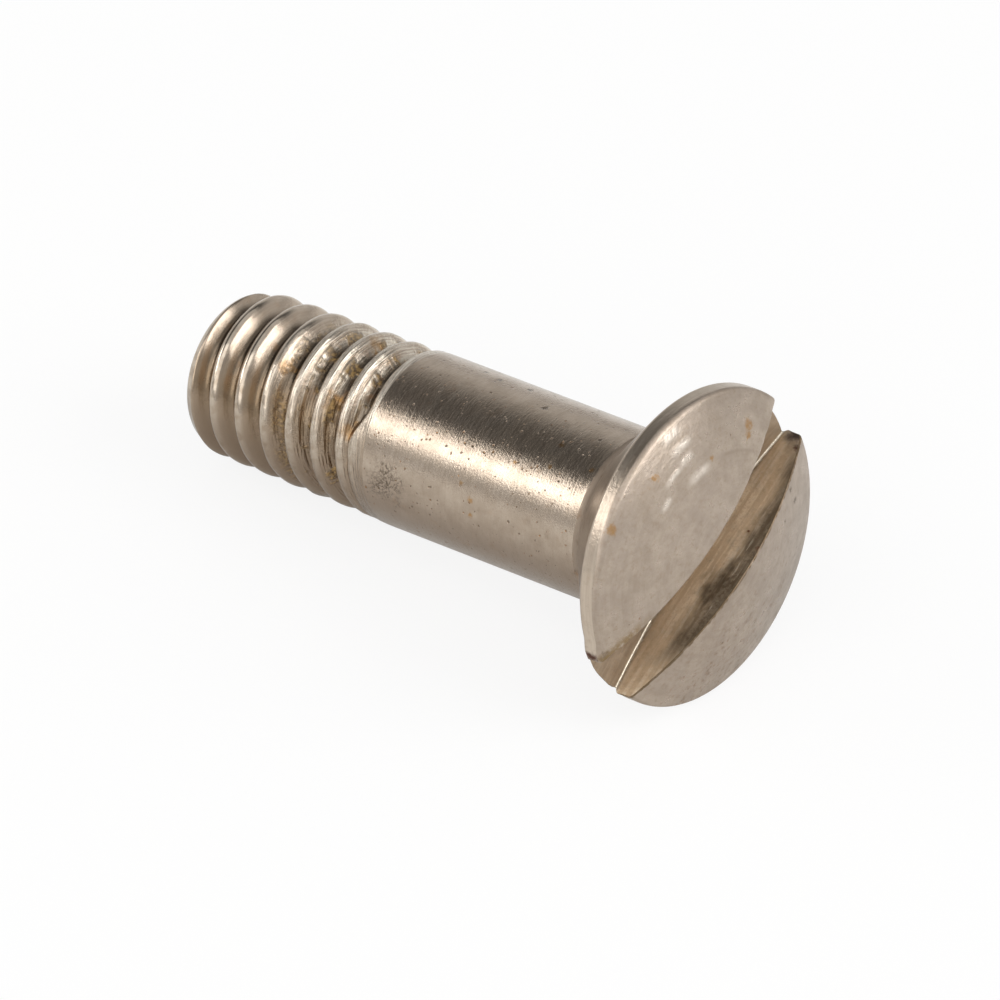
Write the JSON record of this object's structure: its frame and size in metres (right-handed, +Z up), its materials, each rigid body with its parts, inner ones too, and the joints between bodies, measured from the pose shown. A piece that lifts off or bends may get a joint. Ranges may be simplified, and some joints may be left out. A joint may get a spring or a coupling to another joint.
{
  "type": "screw",
  "caption": "Slotted machine screw with a raised countersunk head, a plain shank and a short coarse thread, for holding a part flush while it locates on the shank.",
  "frame": {"origin": "on the surface that the screw lies on, under the middle of its bounding box", "axes": "+X along the screw as it lies, towards the head, +Z up; the screw's own axis rises towards the head"},
  "size_m": [0.0204, 0.0102, 0.0101],
  "materials": {
    "turned_metal": "used, warm grey, fine turning lines, brown deposits in the slot and thread"
  },
  "bodies": {
    "root": {"screw": "turned_metal"}
  },
  "joints": []
}
